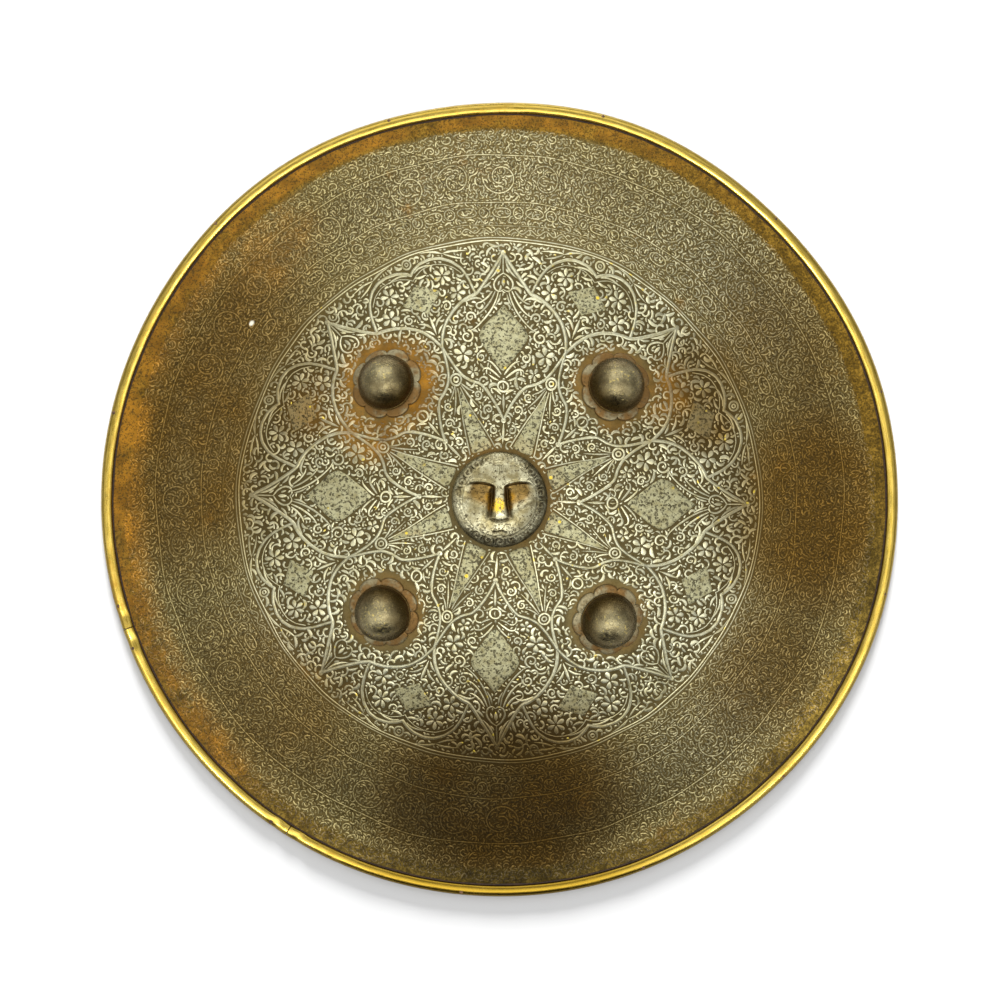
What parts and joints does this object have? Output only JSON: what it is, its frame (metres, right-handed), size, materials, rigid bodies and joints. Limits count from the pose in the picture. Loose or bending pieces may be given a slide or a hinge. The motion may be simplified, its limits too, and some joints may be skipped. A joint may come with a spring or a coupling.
{
  "type": "dhal shield",
  "caption": "Round domed steel shield with a flared rim, brass edging, domed bosses on lobed washers and a sun-face boss at the crown.",
  "frame": {"origin": "centre of the shield's outline, on the flat surface that its rim rests on", "axes": "+Z along the shield's axis, out of the convex front; +Y the way that the forehead of the face boss points; +X to the right of the face as it is seen from the front"},
  "size_m": [0.45, 0.45, 0.0851],
  "materials": {
    "plate_steel": "etched and worn, olive grey-brown, with pits and rust",
    "boss_steel": "polished, browned, with worn specks of gilding",
    "face_steel": "polished on the high parts, browned in the hollows",
    "edging_brass": "filed and lightly tarnished",
    "pin_iron": "dark and rusted"
  },
  "bodies": {
    "root": {"domed_plate": "plate_steel", "brass_edging_long": "edging_brass", "brass_edging_short": "edging_brass", "edging_pin_01": "pin_iron", "edging_pin_02": "pin_iron", "edging_pin_03": "pin_iron", "edging_pin_04": "pin_iron", "edging_pin_05": "pin_iron", "edging_pin_06": "pin_iron", "edging_pin_07": "pin_iron", "edging_pin_08": "pin_iron", "edging_pin_09": "pin_iron", "edging_pin_10": "pin_iron", "edging_pin_11": "pin_iron", "edging_pin_12": "pin_iron", "edging_pin_13": "pin_iron", "edging_pin_14": "pin_iron", "boss_upper_right": "boss_steel", "lobed_washer_upper_right": "boss_steel", "boss_upper_left": "boss_steel", "lobed_washer_upper_left": "boss_steel", "boss_lower_left": "boss_steel", "lobed_washer_lower_left": "boss_steel", "boss_lower_right": "boss_steel", "lobed_washer_lower_right": "boss_steel", "face_boss": "face_steel"}
  },
  "joints": []
}
